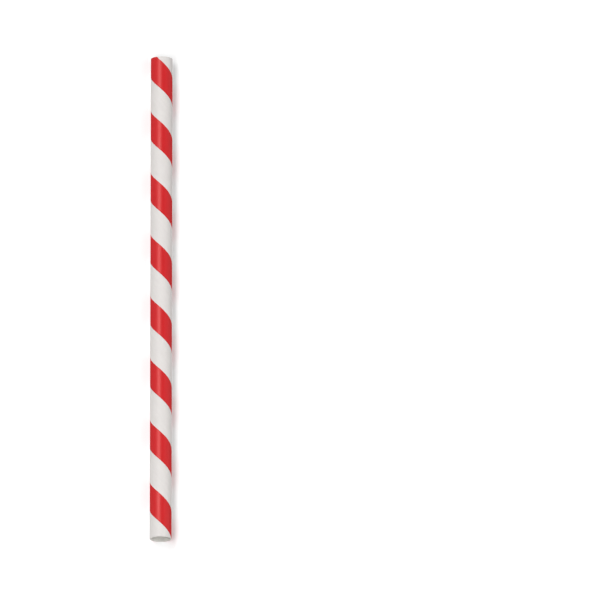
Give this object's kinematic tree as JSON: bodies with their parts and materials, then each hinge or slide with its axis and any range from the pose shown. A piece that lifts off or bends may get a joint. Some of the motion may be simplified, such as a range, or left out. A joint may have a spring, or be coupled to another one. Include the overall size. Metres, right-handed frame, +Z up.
{
  "type": "paper drinking straw",
  "caption": "Straight wound-paper drinking straw of jumbo bore, open and square cut at both ends, with a red and white spiral stripe, lying on its side.",
  "frame": {"origin": "middle of the straw's length, directly below its axis, on the surface that it lies on", "axes": "+Y along the straw towards its far end, +Z up, +X to the right seen from the near end"},
  "size_m": [0.012, 0.275, 0.0119],
  "materials": {
    "white_paper": "smooth uncoated white paper with a faint satin sheen",
    "red_paper": "white paper printed solid red, satin"
  },
  "bodies": {
    "root": {"paper_tube": "white_paper", "red_stripe": "red_paper"}
  },
  "joints": []
}
